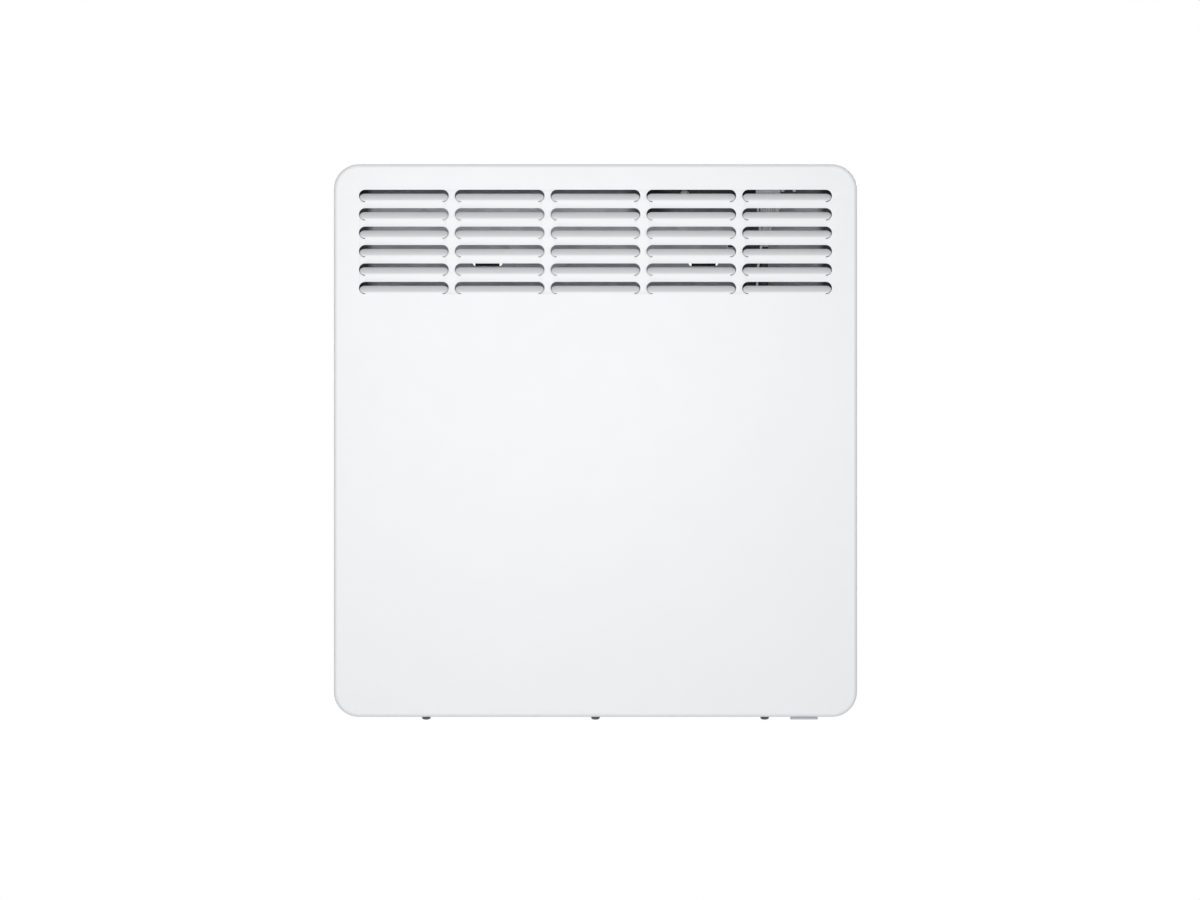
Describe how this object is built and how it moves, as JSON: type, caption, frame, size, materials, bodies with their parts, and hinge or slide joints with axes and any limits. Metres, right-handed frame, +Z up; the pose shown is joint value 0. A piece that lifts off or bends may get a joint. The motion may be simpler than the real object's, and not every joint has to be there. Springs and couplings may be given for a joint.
{
  "type": "wall panel convector heater",
  "caption": "Flat white steel wall convector with stamped louvres at the top, finned element inside, latched wall bracket, top controls and a switch underneath.",
  "frame": {"origin": "on the wall, at the middle channel's centre, behind the casing's centre", "axes": "+X to the right of someone facing the heater, +Y into the wall, +Z up"},
  "size_m": [0.426, 0.098, 0.4527],
  "materials": {
    "white_paint": "smooth satin white powder coat",
    "zinc_sheet": "dull galvanised sheet steel",
    "steel": "zinc plated spring and fastener steel",
    "dark_steel": "dark plated screw heads",
    "aluminium": "mill finish aluminium extrusion",
    "ceramic": "unglazed white ceramic",
    "grey_plastic": "fine textured light grey plastic",
    "dark_plastic": "black moulded plastic",
    "black_rubber": "black rubber and sleeving",
    "circuit_board": "green circuit board",
    "clear_window": "clear tinted display window",
    "display_glass": "grey-green display",
    "wire_white": "white wire covering",
    "wire_grey": "light grey wire covering",
    "black_steel": "black passivated sheet steel",
    "bright_zinc": "bright zinc plated screw"
  },
  "bodies": {
    "heater": {"front_casing": "white_paint", "rear_panel": "zinc_sheet", "bottom_screw_left": "dark_steel", "bottom_screw_middle": "dark_steel", "bottom_screw_right": "dark_steel", "bracket_rail_left": "zinc_sheet", "bracket_rail_right": "zinc_sheet", "bracket_channel_upper": "zinc_sheet", "bracket_channel_middle": "zinc_sheet", "bracket_channel_lower": "zinc_sheet", "latch_spring_left": "steel", "latch_spring_right": "steel", "heating_fins": "aluminium", "heating_rod": "steel", "rod_bush_left": "ceramic", "rod_bush_right": "ceramic", "element_holder": "zinc_sheet", "partition": "zinc_sheet", "thermal_cutout": "dark_plastic", "control_bezel": "grey_plastic", "control_housing": "grey_plastic", "control_board": "circuit_board", "display_window": "clear_window", "display_module": "display_glass", "button_switch_menu": "dark_plastic", "button_switch_minus": "dark_plastic", "button_switch_plus": "dark_plastic", "button_switch_confirm": "dark_plastic", "switch_housing": "grey_plastic", "control_plug": "grey_plastic", "loom_wire_1": "wire_grey", "loom_wire_2": "wire_white", "loom_wire_3": "wire_grey", "loom_wire_4": "wire_white", "sensor_lead": "wire_white", "loom_sleeve": "black_rubber", "loom_clip_upper": "dark_plastic", "loom_clip_lower": "dark_plastic", "terminal_block": "dark_plastic", "cable_bush": "black_rubber", "lead_grommet": "black_rubber", "sensor_clip": "grey_plastic", "room_sensor": "dark_plastic", "control_screw_left": "steel", "control_screw_right": "steel", "holder_screw_lower": "steel", "holder_screw_upper": "steel", "partition_screw_lower": "steel", "partition_screw_middle": "steel", "partition_screw_upper": "steel", "terminal_screw": "steel", "earth_screw": "bright_zinc"},
    "latch_left": {"latch_left": "black_steel"},
    "latch_right": {"latch_right": "black_steel"},
    "button_menu": {"button_menu": "grey_plastic"},
    "button_minus": {"button_minus": "grey_plastic"},
    "button_plus": {"button_plus": "grey_plastic"},
    "button_confirm": {"button_confirm": "grey_plastic"},
    "switch_rocker": {"switch_rocker": "grey_plastic"}
  },
  "joints": [
    {"name": "latch_left_slide", "type": "slide", "parent": "heater", "child": "latch_left", "axis": [0, 0, -1], "range_m": [0, 0.006], "stiffness_N_per_m": 600, "springref_m": -0.004, "deforming": ["latch_spring_left"]},
    {"name": "latch_right_slide", "type": "slide", "parent": "heater", "child": "latch_right", "axis": [0, 0, -1], "range_m": [0, 0.006], "stiffness_N_per_m": 600, "springref_m": -0.004, "deforming": ["latch_spring_right"]},
    {"name": "button_menu_press", "type": "slide", "parent": "heater", "child": "button_menu", "axis": [0, 0, -1], "range_m": [0, 0.0008], "stiffness_N_per_m": 1500, "springref_m": -0.0004},
    {"name": "button_minus_press", "type": "slide", "parent": "heater", "child": "button_minus", "axis": [0, 0, -1], "range_m": [0, 0.0008], "stiffness_N_per_m": 1500, "springref_m": -0.0004},
    {"name": "button_plus_press", "type": "slide", "parent": "heater", "child": "button_plus", "axis": [0, 0, -1], "range_m": [0, 0.0008], "stiffness_N_per_m": 1500, "springref_m": -0.0004},
    {"name": "button_confirm_press", "type": "slide", "parent": "heater", "child": "button_confirm", "axis": [0, 0, -1], "range_m": [0, 0.0008], "stiffness_N_per_m": 1500, "springref_m": -0.0004},
    {"name": "switch_rocker_tilt", "type": "hinge", "parent": "heater", "child": "switch_rocker", "pos_m": [0.17, -0.084, -0.2235], "axis": [0, 1, 0], "range_deg": [-12, 0]}
  ]
}
